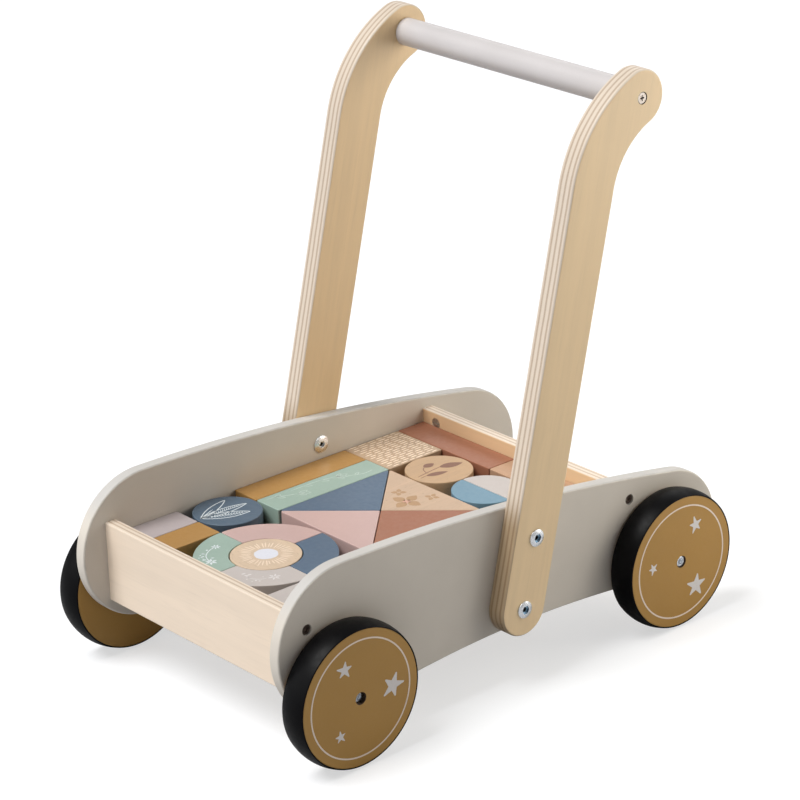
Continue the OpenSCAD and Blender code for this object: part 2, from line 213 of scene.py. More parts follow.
def filleted(corners, r, steps=5):
    """A straight-sided outline with each corner rounded to radius r."""
    out = []
    for i, p in enumerate(corners):
        a, c = Vector(corners[i - 1]), Vector(corners[(i + 1) % len(corners)])
        p = Vector(p)
        u, v = (a - p).normalized(), (c - p).normalized()
        half = math.acos(max(-1, min(1, u.dot(v)))) / 2
        centre = p + (u + v).normalized() * (r / math.sin(half))
        foot_u, foot_v = p + u * (r / math.tan(half)), p + v * (r / math.tan(half))
        a0, a1 = bearing(centre, foot_u), bearing(centre, foot_v)
        turn = (a1 - a0 + 180) % 360 - 180
        out += arc(centre, r, a0, a0 + turn, steps)
    return out


def inset(points, depth):
    """The outline moved inwards by depth, for a counter-clockwise outline."""
    if depth == 0:
        return list(points)
    out = []
    for i, p in enumerate(points):
        a, c = points[i - 1], points[(i + 1) % len(points)]
        e0 = Vector((p[0] - a[0], p[1] - a[1])).normalized()
        e1 = Vector((c[0] - p[0], c[1] - p[1])).normalized()
        n0, n1 = Vector((-e0.y, e0.x)), Vector((-e1.y, e1.x))
        m = (n0 + n1) / (1 + n0.dot(n1))
        out.append((p[0] + m.x * depth, p[1] + m.y * depth))
    return out


# ---- meshes ----

ALONG = {
    "x": lambda u, v, w: (w, u, v),
    "y": lambda u, v, w: (u, w, v),
    "z": lambda u, v, w: (u, v, w),
}


def link(name, data):
    """A new object in the scene."""
    obj = bpy.data.objects.new(name, data)
    bpy.context.scene.collection.objects.link(obj)
    return obj


class Shape:
    """Collects closed bodies in millimetres and turns them into one piece."""

    def __init__(self):
        self.bm = bmesh.new()
        # Marks rounded edges, where the paints put a painted highlight or painted shade, patchy like wear
        self.edge = self.bm.verts.layers.float.new("edge_shading_and_wear")

    def ring(self, points, put, station, edge=0.0):
        verts = []
        for u, v in points:
            vert = self.bm.verts.new(Vector(put(u, v, station)) * MM)
            vert[self.edge] = edge
            verts.append(vert)
        return verts

    def bridge(self, a, b):
        for i in range(len(a)):
            j = (i + 1) % len(a)
            self.bm.faces.new((a[i], a[j], b[j], b[i]))

    def prism(self, outline, low, high, axis="z", round_low=0.0, round_high=0.0, steps=4, mids=0):
        """An outline pushed along an axis, with rounded edges at both ends."""
        put = ALONG[axis]

        def lip(i, face, rounding, way):
            a = math.pi / 2 * i / steps
            return face + way * rounding * (1 - math.cos(a)), rounding * (1 - math.sin(a)), rounding

        stations = [lip(i, low, round_low, 1) for i in (range(steps + 1) if round_low else [0])]
        stations += [(low + (high - low) * (i + 1) / (mids + 1), 0.0, 0.0) for i in range(mids)]
        stations += [lip(i, high, round_high, -1) for i in (range(steps, -1, -1) if round_high else [0])]
        rings = []
        for station, depth, rounding in stations:
            # Rounding rings carry the edge mark for painted highlight, painted shade and wear
            edge_shading_and_wear_mask = 1.0 if rounding and 0.05 * rounding < depth < 0.95 * rounding else 0.0
            rings.append(self.ring(inset(outline, depth), put, station, edge_shading_and_wear_mask))
        for a, b in zip(rings, rings[1:]):
            self.bridge(a, b)
        self.bm.faces.new(rings[0][::-1])
        self.bm.faces.new(rings[-1])
        return self

    def turned(self, centre, profile, side=1, axis="x", base=0.0, segs=48, loop=False):
        """A body of revolution. profile is a list of (along, radius) or (along, radius, sides);
        sides makes that ring a polygon of so many sides. loop joins its end to its start."""
        put = ALONG[axis]
        rings = []
        for along, r, *polygon in profile:
            station = side * (base + along)
            if r == 0:
                rings.append(self.ring([centre], put, station))
                continue
            points = []
            for i in range(segs):
                a = 2 * math.pi * i / segs
                q = r
                if polygon:
                    step = 2 * math.pi / polygon[0]
                    q = r * math.cos(step / 2) / math.cos(a % step - step / 2)
                points.append((centre[0] + q * math.cos(a), centre[1] + q * math.sin(a)))
            rings.append(self.ring(points, put, station))
        pairs = list(zip(rings, rings[1:]))
        if loop:
            pairs.append((rings[-1], rings[0]))
        for a, b in pairs:
            if len(a) == 1 and len(b) == 1:
                continue
            if len(a) == 1 or len(b) == 1:
                tip, other = (a[0], b) if len(a) == 1 else (b[0], a)
                for i in range(segs):
                    self.bm.faces.new((tip, other[i], other[(i + 1) % segs]))
            else:
                self.bridge(a, b)
        return self

    def mesh(self, name):
        bmesh.ops.recalc_face_normals(self.bm, faces=self.bm.faces)
        data = bpy.data.meshes.new(name)
        self.bm.to_mesh(data)
        self.bm.free()
        return data

    def piece(self, name, material, body, nodes=(), slot=None, cutters=None, sharp=38):
        obj = link(name, self.mesh(name))
        if cutters is not None:
            cut(obj, cutters)
        obj.data.materials.clear()
        obj.data.materials.append(material)
        for face in obj.data.polygons:
            face.use_smooth = True
        obj.data.set_sharp_from_angle(angle=math.radians(sharp))
        weighted = obj.modifiers.new("weighted", "WEIGHTED_NORMAL")
        weighted.keep_sharp = True
        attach(obj, body)
        if nodes:
            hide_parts(*nodes)
        return obj


def cut(obj, cutters):
    """Takes the cutters, a Shape, out of obj and applies the result."""
    tool = link("cutter", cutters.mesh("cutter"))
    boolean = obj.modifiers.new("cut", "BOOLEAN")
    boolean.operation = "DIFFERENCE"
    boolean.solver = "EXACT"
    boolean.use_self = True
    boolean.object = tool
    bpy.context.view_layer.update()
    result = bpy.data.meshes.new_from_object(obj.evaluated_get(bpy.context.evaluated_depsgraph_get()))
    obj.modifiers.clear()
    obj.data = result
    bpy.data.objects.remove(tool)


def box_outline(u0, u1, v0, v1):
    return [(u0, v0), (u1, v0), (u1, v1), (u0, v1)]


def disc_outline(centre, r, steps=48):
    return arc(centre, r, 0, 360, steps)[:-1]


# ---- materials ----


def linear(rgb):
    """sRGB 0..255 to a linear colour."""
    out = []
    for c in rgb:
        c /= 255
        out.append(c / 12.92 if c <= 0.04045 else ((c + 0.055) / 1.055) ** 2.4)
    return (*out, 1.0)


class Tree:
    """A short way to write a node tree."""

    def __init__(self, owner):
        owner.use_nodes = True
        self.tree = owner.node_tree

    def preset(self, node, sockets):
        for socket, value in sockets.items():
            node.inputs[socket].default_value = value

    def add(self, kind, sockets=None, **values):
        node = self.tree.nodes.new(kind)
        for key, value in values.items():
            setattr(node, key, value)
        self.preset(node, sockets or {})
        return node

    def feed(self, socket, value):
        if isinstance(value, bpy.types.NodeSocket):
            self.tree.links.new(value, socket)
        elif value is not None:
            socket.default_value = value

    def math(self, operation, a, b=None, c=None):
        node = self.add("ShaderNodeMath", operation=operation)
        for socket, value in zip(node.inputs, (a, b, c)):
            self.feed(socket, value)
        return node.outputs[0]


class Nodes(Tree):
    """A node material around one Principled shader."""

    def __init__(self, name, roughness=0.5, metallic=0.0, specular=0.5, coat=0.0, coat_rough=0.2):
        self.material = bpy.data.materials.new(name)
        super().__init__(self.material)
        self.shader = self.tree.nodes["Principled BSDF"]
        self.preset(self.shader, {
            "Roughness": roughness, "Metallic": metallic, "Specular IOR Level": specular,
            "Coat Weight": coat, "Coat Roughness": coat_rough,
        })
        self.coords = self.add("ShaderNodeTexCoord")

    def noise(self, scale, vector=None, detail=3.0, rough=0.5, distortion=0.0):
        """Noise with so many features a metre."""
        sockets = {"Scale": scale, "Detail": detail, "Roughness": rough, "Distortion": distortion}
        node = self.add("ShaderNodeTexNoise", sockets)
        self.feed(node.inputs["Vector"], vector or self.coords.outputs["Object"])
        return node.outputs["Fac"]

    def stretched(self, axis, factor=0.06, turn=(0, 0, 0)):
        """Object coordinates, turned and then scaled along an axis, which draws noise out."""
        node = self.add("ShaderNodeMapping", {"Rotation": turn})
        self.feed(node.inputs["Vector"], self.coords.outputs["Object"])
        turned = self.add("ShaderNodeVectorMath", operation="MULTIPLY")
        self.feed(turned.inputs[0], node.outputs[0])
        turned.inputs[1].default_value = tuple(factor if name == axis else 1 for name in "xyz")
        return turned.outputs[0]

    def remap(self, value, low, high, to_low=0.0, to_high=1.0, smooth=False):
        node = self.add("ShaderNodeMapRange", interpolation_type="SMOOTHSTEP" if smooth else "LINEAR")
        for socket, v in zip(node.inputs, (value, low, high, to_low, to_high)):
            self.feed(socket, v)
        return node.outputs[0]

    def mix(self, factor, a, b, blend="MIX"):
        node = self.add("ShaderNodeMix", data_type="RGBA", blend_type=blend)
        self.feed(node.inputs[0], factor)
        self.feed(node.inputs[6], a)
        self.feed(node.inputs[7], b)
        return node.outputs[2]

    def attribute(self, name):
        node = self.add("ShaderNodeAttribute", attribute_name=name)
        return node.outputs["Fac"]

    def part(self, coordinates, index):
        """One component of the Object or Normal coordinates."""
        node = self.add("ShaderNodeSeparateXYZ")
        self.feed(node.inputs[0], self.coords.outputs[coordinates])
        return node.outputs[index]

    def bump(self, height, strength, distance):
        node = self.add("ShaderNodeBump", {"Strength": strength, "Distance": distance})
        self.feed(node.inputs["Height"], height)
        return node.outputs[0]

    def finish(self, colour, rough=None, normal=None):
        self.feed(self.shader.inputs["Base Color"], colour)
        self.feed(self.shader.inputs["Roughness"], rough)
        if normal is not None:
            self.feed(self.shader.inputs["Normal"], normal)
        return self.material


def tint(colour, k):
    return (*(min(1.0, c * k) for c in colour[:3]), 1.0)


PLY_PALE, PLY_BROWN = (226, 212, 196), (192, 171, 150)


def paint(name, rgb, grain="y", rough=0.42, edge_shading_and_wear_factor=1.12, board=False, upper=None):
    """Satin paint: faint mottling, fine texture, and rounded edges whose colour is multiplied by the
    edge factor in patches like wear: painted highlight above 1, painted shade below 1. upper is
    painted shade: what the colour is multiplied by where the surface faces up."""
    base = linear(rgb)
    n = Nodes(name, specular=0.42)
    broad = n.noise(22, detail=2)
    fine = n.noise(1500, detail=2)
    colour = n.mix(n.remap(broad, 0.3, 0.7), tint(base, 0.965), tint(base, 1.03))
    colour = n.mix(n.remap(fine, 0.35, 0.65, 0.0, 0.16), colour, tint(base, 0.86))
    # Rounded edges take the edge factor in patches like wear: painted highlight above 1, painted shade below
    # 1
    patchy = n.remap(n.noise(160, detail=3), 0.42, 0.62, 0.25, 0.9)
    edge_shading_and_wear_mask = n.math("MULTIPLY", n.attribute("edge_shading_and_wear"), patchy)
    colour = n.mix(edge_shading_and_wear_mask, colour, tint(base, edge_shading_and_wear_factor))
    # Painted shade on faces that look up
    if upper:
        faces_up_shade_mask = n.remap(n.part("Normal", 2), 0.4, 0.8, smooth=True)
        colour = n.mix(faces_up_shade_mask, colour, upper, blend="MULTIPLY")
    streaks = n.noise(900, n.stretched(grain), detail=3, rough=0.6)
    height = n.math("MULTIPLY_ADD", streaks, 0.15 if board else 0.6, n.math("MULTIPLY", fine, 0.5))
    rough_map = n.remap(n.noise(300, detail=2), 0.3, 0.7, rough - 0.05, rough + 0.07)
    return n.finish(colour, rough_map, n.bump(height, 0.22, 0.00012))


def beech(name, rgb, grain="y"):
    """Clear-coated natural wood: soft year rings, fine pores and short darker flecks."""
    base = linear(rgb)
    n = Nodes(name, specular=0.4, coat=0.12, coat_rough=0.35)
    rings = n.noise(150, n.stretched(grain), detail=4, rough=0.55, distortion=0.4)
    colour = n.mix(n.remap(rings, 0.32, 0.68), tint(base, 0.93), tint(base, 1.05))
    pores = n.noise(2600, n.stretched(grain), detail=2)
    colour = n.mix(n.remap(pores, 0.55, 0.72, 0.0, 0.35), colour, tint(base, 0.72))
    flecks = n.noise(900, n.stretched(grain, 0.22), detail=1)
    colour = n.mix(n.remap(flecks, 0.66, 0.72, 0.0, 0.4, smooth=True), colour, tint(base, 0.62))
    # Rounded edges lighter: painted highlight, with wear
    edge_shading_and_wear_mask = n.math("MULTIPLY", n.attribute("edge_shading_and_wear"), 0.4)
    colour = n.mix(edge_shading_and_wear_mask, colour, tint(base, 1.08))
    rough_map = n.remap(rings, 0.3, 0.7, 0.42, 0.52)
    return n.finish(colour, rough_map, n.bump(pores, 0.18, 0.0001))


def plywood(name, rgb, axis, start, end, plies, along, turn=(0, 0, 0), low=None):
    """Light plywood: a faintly figured face veneer, and plies that show on the edges. low is a
    pair of heights between which the edges turn darker towards the ground, a painted shade."""
    base = linear(rgb)
    n = Nodes(name, specular=0.42, coat=0.15, coat_rough=0.3)
    figure = n.noise(42, n.stretched(along, turn=turn), detail=5, rough=0.55, distortion=1.2)
    face = n.mix(n.remap(figure, 0.35, 0.65), tint(base, 0.95), tint(base, 1.035))
    lines = n.noise(520, n.stretched(along, turn=turn), detail=3, rough=0.6)
    face = n.mix(n.remap(lines, 0.5, 0.75, 0.0, 0.35), face, tint(base, 0.84))
    cloud = n.noise(9, detail=2)
    face = n.mix(n.remap(cloud, 0.35, 0.7, 0.0, 0.5), face, tint(base, 1.05))

    where = "xyz".index(axis)
    place = n.part("Object", where)
    if axis == "x":
        place = n.math("ABSOLUTE", place)
    wobble = n.noise(60, detail=2)
    depth = n.math("SUBTRACT", place, start * MM)
    depth = n.math("ADD", depth, n.remap(wobble, 0.3, 0.7, -0.00012, 0.00012))
    ply = n.math("MULTIPLY", depth, plies / ((end - start) * MM))
    wave = n.math("SINE", n.math("MULTIPLY", ply, math.pi))
    dark = n.remap(wave, -0.2, -0.75, 0.0, 1.0, smooth=True)
    pores = n.noise(1900, detail=2)
    pale, brown = linear(PLY_PALE), linear(PLY_BROWN)
    light_ply = n.mix(n.remap(pores, 0.4, 0.7, 0.0, 0.3), pale, tint(pale, 0.88))
    dark_ply = n.mix(n.remap(pores, 0.35, 0.65), tint(brown, 0.9), tint(brown, 1.08))
    edge = n.mix(dark, light_ply, dark_ply)
    glue = n.remap(n.math("ABSOLUTE", wave), 0.0, 0.22, 0.3, 0.0, smooth=True)
    edge = n.mix(glue, edge, tint(brown, 0.8))
    # Painted shade: the ply edges turn darker below these heights
    if low:
        painted_low_shade = n.remap(n.part("Object", 2), low[0] * MM, low[1] * MM, 1.0, 0.0, smooth=True)
        edge = n.mix(painted_low_shade, edge, (0.56, 0.48, 0.36, 1), blend="MULTIPLY")

    flat = n.remap(n.math("ABSOLUTE", n.part("Normal", where)), 0.82, 0.93, smooth=True)
    colour = n.mix(flat, edge, face)
    rough_map = n.remap(figure, 0.3, 0.7, 0.4, 0.5)
    return n.finish(colour, rough_map, n.bump(lines, 0.16, 0.0001))


def rubber(name):
    n = Nodes(name, specular=0.09)
    fine = n.noise(2400, detail=2)
    dust = n.noise(70, detail=4, rough=0.6)
    colour = n.mix(n.remap(dust, 0.4, 0.75, 0.0, 0.5), (0.0014, 0.0014, 0.0019, 1), (0.003, 0.003, 0.0038, 1))
    rough_map = n.remap(n.noise(260, detail=3), 0.3, 0.7, 0.36, 0.47)
    return n.finish(colour, rough_map, n.bump(fine, 0.2, 0.00008))


def metal(name, tone, rough, specular=0.5):
    n = Nodes(name, metallic=1.0, specular=specular)
    haze = n.noise(900, detail=3)
    colour = n.mix(n.remap(haze, 0.35, 0.7), tint(tone, 0.88), tint(tone, 1.06))
    rough_map = n.remap(n.noise(2200, detail=2), 0.3, 0.7, rough - 0.06, rough + 0.08)
    return n.finish(colour, rough_map, n.bump(haze, 0.12, 0.00004))


def plain_print(name, rgb, thin):
    """Screen-printed ink: matt and slightly uneven, with thin places as strong as thin."""
    base = linear(rgb)
    n = Nodes(name, specular=0.3)
    cover = n.noise(700, detail=3, rough=0.6)
    colour = n.mix(n.remap(cover, 0.45, 0.75, 0.0, thin), base, tint(base, 0.8))
    rough_map = n.remap(cover, 0.3, 0.7, 0.55, 0.68)
    return n.finish(colour, rough_map, n.bump(cover, 0.1, 0.00004))


def nylon(name):
    n = Nodes(name, specular=0.5)
    cloud = n.noise(300, detail=2)
    colour = n.mix(n.remap(cloud, 0.3, 0.7), (0.70, 0.69, 0.65, 1), (0.80, 0.79, 0.76, 1))
    return n.finish(colour, n.remap(cloud, 0.3, 0.7, 0.38, 0.5), n.bump(n.noise(1800), 0.1, 0.00005))


# Side boards: painted shade on the rounded edges and a cooler painted shade on faces that look up
PANEL = paint(
    "paint_side_board", (215, 208, 198), rough=0.5, edge_shading_and_wear_factor=0.86, board=True, upper=(0.84, 0.88, 0.95, 1)
)
# The arms' ply edges get painted shade below 118 to 148 mm
ARM_PLIES = {
    hand: plywood(f"birch_ply_arm_{hand}", rgb, "x", OUT_X, ARM_X, 7, "z", (LEAN, 0, 0), (118, 148))
    for hand, rgb in (("left", (238, 210, 168)), ("right", (232, 202, 158)))
}
FRONT_PLY = plywood("birch_ply_front", (239, 221, 201), "y", front_low.y, front_high.y, 5, "x")
REAR_PLY = plywood("birch_ply_rear", (228, 196, 156), "y", rear_low.y, rear_high.y, 5, "x")
FLOOR_PLY = plywood("birch_ply_floor", (226, 200, 164), "z", floor_low.z, floor_high.z, 3, "y")
GRIP_PAINT = paint("paint_grip", (210, 206, 207), grain="x", rough=0.4)
OCHRE = paint("paint_ochre", (180, 138, 70), rough=0.45, board=True)
# Unpainted board, dark as painted shade, for the screw seats and hub pockets
RAW_BOARD_SHADE = paint("raw_board_painted_shade", (62, 44, 28), grain="x", rough=0.75)
RUBBER = rubber("tyre_rubber_black")
ZINC = metal("zinc_plate", (0.86, 0.89, 0.93, 1), 0.25)
DARK = metal("dark_zinc", (0.24, 0.19, 0.16, 1), 0.36)
# Darker, bluish zinc for the arm bolts' sockets: painted shade and a painted bluish reflection
SOCKET_SHADE_AND_REFLECTION = metal("zinc_socket_painted_shade_and_reflection", (0.32, 0.46, 0.58, 1), 0.22)
SCREW = metal("zinc_screw", (0.5, 0.46, 0.43, 1), 0.5)
DULL = metal("zinc_dull", (0.62, 0.62, 0.57, 1), 0.4)
NYLON = nylon("nylon_natural")
INKS = {
    "white": (214, 216, 226, 0.25), "star": (224, 220, 219, 0.25), "ring": (236, 222, 208, 0.25),
    "brown": (134, 103, 90, 0.3), "tan": (176, 145, 114, 0.3), "cream": (240, 224, 204, 0.35),
    "soft_white": (214, 222, 226, 0.4), "faint": (190, 205, 198, 0.4), "pale_grey": (216, 212, 212, 0.4),
    "ray": (232, 214, 196, 0.4), "rose": (214, 168, 152, 0.4),
}
INK = {name: plain_print("ink_" + name, rgb, thin) for name, (*rgb, thin) in INKS.items()}

# ---- tray ----

for side, hand in SIDES:
    tools = Shape()
    groove = box_outline(floor_low.y, floor_high.y, floor_low.z, floor_high.z)
    tools.prism(groove, *between(side, IN_X - 1, IN_X + GROOVE), "x")
    for y in PANEL_BOLT_YS:
        for z in PANEL_BOLT_ZS:
            hole = between(side, OUT_X - CAP_DEEP, OUT_X + 1)
            tools.prism(disc_outline((y, z), CAP_HOLE_R, 36), *hole, "x")
    Shape().prism(side_outline(), *between(side, IN_X, OUT_X), "x", EDGE_R, EDGE_R, steps=6).piece(
        f"{hand}_side_board", PANEL, "root", (f"side_panel_{hand}",), "painted_side_board", tools
    )


def end_board(name, low, high, toward, material, node):
    """The front or rear board; toward is +1 when the tray lies on its +Y side."""
    outline = filleted(box_outline(low.y, high.y, low.z, high.z), 1.1)
    tools = Shape()
    inner = high.y if toward > 0 else low.y
    groove = sorted((inner - toward * GROOVE, inner + toward))
    tools.prism(box_outline(*groove, floor_low.z, floor_high.z), low.x - 1, high.x + 1, "x")
    bore = sorted((inner - toward * NUT_BORE, inner + toward))
    for side, _ in SIDES:
        for z in PANEL_BOLT_ZS:
            tools.prism(disc_outline((side * (IN_X - BARREL_IN), z), NUT_R + 0.05, 36), *bore, "y")
    Shape().prism(outline, low.x, high.x, "x", mids=8).piece(
        name, material, "root", (node,), "birch_plywood", tools
    )


end_board("front_board", front_low, front_high, 1, FRONT_PLY, "front_panel")
end_board("rear_board", rear_low, rear_high, -1, REAR_PLY, "rear_panel")
for entry in frame["nodes"]["tray_floor"].material_slots:
    entry.material = FLOOR_PLY

# ---- push handle ----


def line_core(obj, spot, r, material, low=0.0, high=1e9):
    """Second material on the faces within r of a line along x, where abs(x) is low to high."""
    if material.name not in obj.data.materials:
        obj.data.materials.append(material)
    index = obj.data.materials.find(material.name)
    for face in obj.data.polygons:
        x, y, z = face.center / MM
        if math.dist((y, z), spot) < r and low < abs(x) < high:
            face.material_index = index


for side, hand in SIDES:
    tools = Shape()
    r = SCREW_HEAD_R
    seat = [(-2.6, 0), (-2.6, SCREW_SHANK_R + 0.2), (-0.4, r), (1, r), (1, 0)]
    tools.turned(GRIP, seat, side, base=ARM_X, segs=36)
    width = between(side, OUT_X, ARM_X)
    arm = Shape().prism(arm_outline(), *width, "x", ARM_ROUND, ARM_ROUND, steps=6).piece(
        f"{hand}_arm", ARM_PLIES[hand], "root", (f"handle_arm_{hand}",), "birch_plywood", tools
    )
    # Painted shade in the screw seat
    line_core(arm, GRIP, SCREW_HEAD_R + 0.05, RAW_BOARD_SHADE)

bar = [(-OUT_X, 0), (-OUT_X, GRIP_R - 0.4), (-OUT_X + 0.4, GRIP_R)]
bar += [(-OUT_X + (2 * OUT_X) * i / 12, GRIP_R) for i in range(1, 12)]
bar += [(OUT_X - 0.4, GRIP_R), (OUT_X, GRIP_R - 0.4), (OUT_X, 0)]
Shape().turned(GRIP, bar, segs=72).piece("grip_dowel", GRIP_PAINT, "root", ("handle_bar",), "painted_grip")

# ---- fasteners ----


def tube(low, high, r, hole=0):
    """Profile of a plain round bar or tube."""
    return [(low, hole), (low, r), (high, r), (high, hole)]


def dome(r, height, socket, deep, rim=0.8):
    """Profile of a domed head with a hex socket, from its centre underneath to its socket."""
    crown = height - rim
    ball = (r * r + crown * crown) / (2 * crown)
    profile = [(0, 0), (0, r - 0.15), (0.15, r), (rim - 0.15, r)]
    lip = socket + 0.55
    for i in range(7):
        q = r - 0.12 - (r - 0.12 - lip) * i / 6
        profile.append((height - ball + math.sqrt(ball * ball - q * q), q))
    top = profile[-1][0]
    profile += [(top - 0.05, socket + 0.12, HEX), (top - 0.25, socket, HEX)]
    profile += [(height - deep, socket, HEX), (height - deep - 0.5, 0)]
    return profile


def flat_head(r, low, high, socket, deep, chamfer=0.35):
    """Profile of a cylindrical head with a hex socket."""
    return [
        (low, 0), (low, r), (high - chamfer, r), (high - chamfer * 0.3, r - chamfer * 0.35),
        (high, r - chamfer),
        (high, socket + 0.45), (high - 0.04, socket + 0.12, HEX), (high - 0.2, socket, HEX),
        (high - deep, socket, HEX), (high - deep - 0.5, 0),
    ]


bolts, sleeves = Shape(), Shape()
for side, _ in SIDES:
    for spot in ARM_BOLTS:
        bolts.turned(spot, dome(BOLT_R, BOLT_HIGH, 3.1, 1.8), side, base=ARM_X)
        bolts.turned(spot, tube(IN_X + 3, ARM_X - 0.02, ARM_SHANK_R), side, segs=24)
        flange = [(-a, *rest) for a, *rest in dome(SLEEVE_R, SLEEVE_HIGH, 2.4, 1.7)]
        sleeves.turned(spot, flange, side, base=IN_X)
        barrel = tube(IN_X + 0.02, OUT_X + 8, SLEEVE_TUBE_R, ARM_SHANK_R + 0.1)
        sleeves.turned(spot, barrel, side, segs=36, loop=True)
bolt_set = bolts.piece("arm_bolt_set", ZINC, "root", ("arm_bolts",), "zinc_steel")
for spot in ARM_BOLTS:
    # Painted shade and bluish reflection in the sockets
    line_core(bolt_set, spot, 2.9, SOCKET_SHADE_AND_REFLECTION, ARM_X)
sleeves.piece("arm_sleeve_set", ZINC, "root", ("arm_sleeve_nuts",), "zinc_steel")

screws, crosses = Shape(), Shape()
for side, _ in SIDES:
    r = SCREW_SHANK_R
    tip = [(-30.5, 0), (-28, r - 0.7), (-27, r), (-2.6, r), (-2.5, r + 0.2)]
    head = [(-0.6, SCREW_HEAD_R - 0.4), (-0.35, SCREW_HEAD_R - 0.55), (-0.3, 0)]
    screws.turned(GRIP, tip + head, side, base=ARM_X, segs=48)
    for turn in (0, 90):
        blade = placed(box_outline(-2.0, 2.0, -0.5, 0.5), GRIP, turn)
        crosses.prism(blade, *between(side, ARM_X - 1.7, ARM_X + 0.5), "x")
screw_set = screws.piece("grip_screw_set", SCREW, "root", ("handle_screws",), "zinc_steel", crosses)
# Painted shade: the cross recess of the grip screws in dark metal
line_core(screw_set, GRIP, 2.2, DARK, ARM_X - 1.9, ARM_X - 0.32)

caps, barrels, slots = Shape(), Shape(), Shape()
for side, _ in SIDES:
    for y, toward, inner in zip(PANEL_BOLT_YS, (-1, 1), (front_high.y, rear_low.y)):
        for z in PANEL_BOLT_ZS:
            caps.turned((y, z), flat_head(CAP_R, -CAP_DEEP, -1.0, 2.0, 1.6), side, base=OUT_X, segs=36)
            caps.turned((y, z), tube(IN_X - 19, OUT_X - 4.02, CAP_SHANK_R), side, segs=24)
            spot = (side * (IN_X - BARREL_IN), z)
            r = NUT_R - 0.02
            nut = [(0.3, 0), (0.3, NUT_R - 0.3), (0.6, r), (7.0, r), (7.2, NUT_R - 0.2), (7.2, 0)]
            barrels.turned(spot, [(inner + toward * a, r) for a, r in nut], 1, axis="y", segs=36)
            across = (spot[0] - NUT_R - 1, spot[0] + NUT_R + 1)
            deep = sorted((inner - toward, inner + toward * 1.2))
            slots.prism(box_outline(*across, z - 0.5, z + 0.5), *deep, "y")
caps.piece("panel_bolt_set", DARK, "root", ("panel_bolts",), "dark_steel")
barrels.piece("barrel_nut_set", DULL, "root", ("barrel_nuts",), "zinc_steel", slots)

pins, nuts, washers = Shape(), Shape(), Shape()
for side, _ in SIDES:
    for k, y in enumerate(AXLE_YS):
        spot = (y, TYRE_R)
        face = WHEEL_OUT - RECESSES[k]
        pins.turned(spot, flat_head(AXLE_HEAD_R, face - 4.2, face, 2.5, 2.4), side, segs=48)
        pins.turned(spot, tube(OUT_X, face - 4.22, SHOULDER_R), side, segs=36)
        thread = [
            (IN_X - 1, 0), (IN_X - 1, THREAD_R - 0.25), (IN_X - 0.7, THREAD_R),
            (OUT_X - 0.02, THREAD_R), (OUT_X - 0.02, 0),
        ]
        pins.turned(spot, thread, side, segs=36)
        flange = [
            (IN_X - 1.5, THREAD_R + 0.15), (IN_X - 1.5, FLANGE_R - 0.5), (IN_X - 1.1, FLANGE_R - 0.05),
            (IN_X - 0.3, FLANGE_R), (IN_X, FLANGE_R - 0.2),
        ]
        sleeve = [(IN_X, SLEEVE_TUBE_R), (OUT_X - 1, SLEEVE_TUBE_R), (OUT_X - 1, THREAD_R + 0.15)]
        nuts.turned(spot, flange + sleeve, side, segs=48, loop=True)
        hole, r = SHOULDER_R + 0.2, WASHER_R
        ring = [(0, hole), (0, r - 0.1), (0.2, r), (1.0, r), (1.2, r - 0.2), (1.2, hole)]
        washers.turned(spot, ring, side, base=OUT_X, segs=48, loop=True)
for name, shape in (("axle_bolt", pins), ("axle_nut", nuts), ("axle_washer", washers)):
    shape.piece(name + "_set", ZINC, "root", (name + "s",), "zinc_steel")

# ---- wheels ----

FACE = WHEEL_OUT - 0.1
PRINT_LOW, PRINT_HIGH = FACE - 0.05, WHEEL_OUT - 0.01
RING_IN, RING_OUT = 41.2, 42.3
HUB_R = 4.0
BORE_R = 4.8
TREAD_R = 30


def star_outline(centre, size, turn, seed):
    """A soft five-point star with slightly uneven arms; size is its radius."""
    draw = random.Random(seed)
    reach = [size * draw.uniform(0.86, 1.06) for _ in range(5)]
    lean = [draw.uniform(-5, 5) for _ in range(5)]
    wide, slim = 0.115 * 1.15 * size, 0.115 * 0.55 * size
    points = []
    for i, far in enumerate(reach):
        base = 0.74 * far
        arm = [(base, -wide), (far, -slim), (far + 0.05 * size, 0), (far, slim), (base, wide)]
        points += placed(arm, centre, turn + 72 * i + lean[i])
        points.append(polar(centre, 0.42 * size, turn + 72 * i + 36))
    return points


# Stars: distance from the hub, bearing from the rear, radius and turn, on the front wheel
STARS = ((27.4, 0, 9.4, 70), (28.0, 117, 6.4, 84), (28.2, -130, 4.5, 95))
WHEEL_TURNS = {"front": 0.0, "rear": -57.0}

